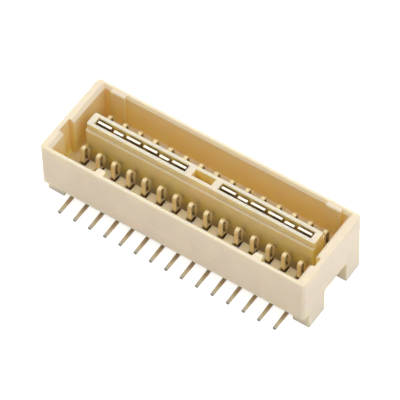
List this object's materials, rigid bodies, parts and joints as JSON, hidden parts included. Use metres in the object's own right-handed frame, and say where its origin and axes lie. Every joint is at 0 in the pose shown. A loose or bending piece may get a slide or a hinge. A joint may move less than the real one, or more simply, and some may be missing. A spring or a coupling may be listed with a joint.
{
  "type": "pin header connector",
  "caption": "Surface-mount pin header with a moulded shroud, two rows of hairpin contacts and ground clips in a central island.",
  "frame": {"origin": "centre of the soldered footprint on the circuit board's surface, midway between the two rows of solder tails", "axes": "+X along the contact rows, +Y from the front tails to the back tails, +Z away from the board towards the open mouth"},
  "size_m": [0.017, 0.0074, 0.0043],
  "materials": {
    "ivory_moulding": "matt moulded glass-filled polyamide in its natural ivory colour, a little see-through where it is thin",
    "tinned_contact": "thin reflowed plating on formed phosphor bronze strip, satin",
    "bright_clip": "bright tin on stamped strip, nearly white in the light"
  },
  "bodies": {
    "root": {"housing": "ivory_moulding", "contact_front_01": "tinned_contact", "contact_front_02": "tinned_contact", "contact_front_03": "tinned_contact", "contact_front_04": "tinned_contact", "contact_front_05": "tinned_contact", "contact_front_06": "tinned_contact", "contact_front_07": "tinned_contact", "contact_front_08": "tinned_contact", "contact_front_09": "tinned_contact", "contact_front_10": "tinned_contact", "contact_front_11": "tinned_contact", "contact_front_12": "tinned_contact", "contact_front_13": "tinned_contact", "contact_front_14": "tinned_contact", "contact_front_15": "tinned_contact", "contact_back_01": "tinned_contact", "contact_back_02": "tinned_contact", "contact_back_03": "tinned_contact", "contact_back_04": "tinned_contact", "contact_back_05": "tinned_contact", "contact_back_06": "tinned_contact", "contact_back_07": "tinned_contact", "contact_back_08": "tinned_contact", "contact_back_09": "tinned_contact", "contact_back_10": "tinned_contact", "contact_back_11": "tinned_contact", "contact_back_12": "tinned_contact", "contact_back_13": "tinned_contact", "contact_back_14": "tinned_contact", "contact_back_15": "tinned_contact", "ground_clip_1": "bright_clip", "ground_clip_2": "bright_clip", "ground_clip_3": "bright_clip", "ground_clip_4": "bright_clip"}
  },
  "joints": []
}
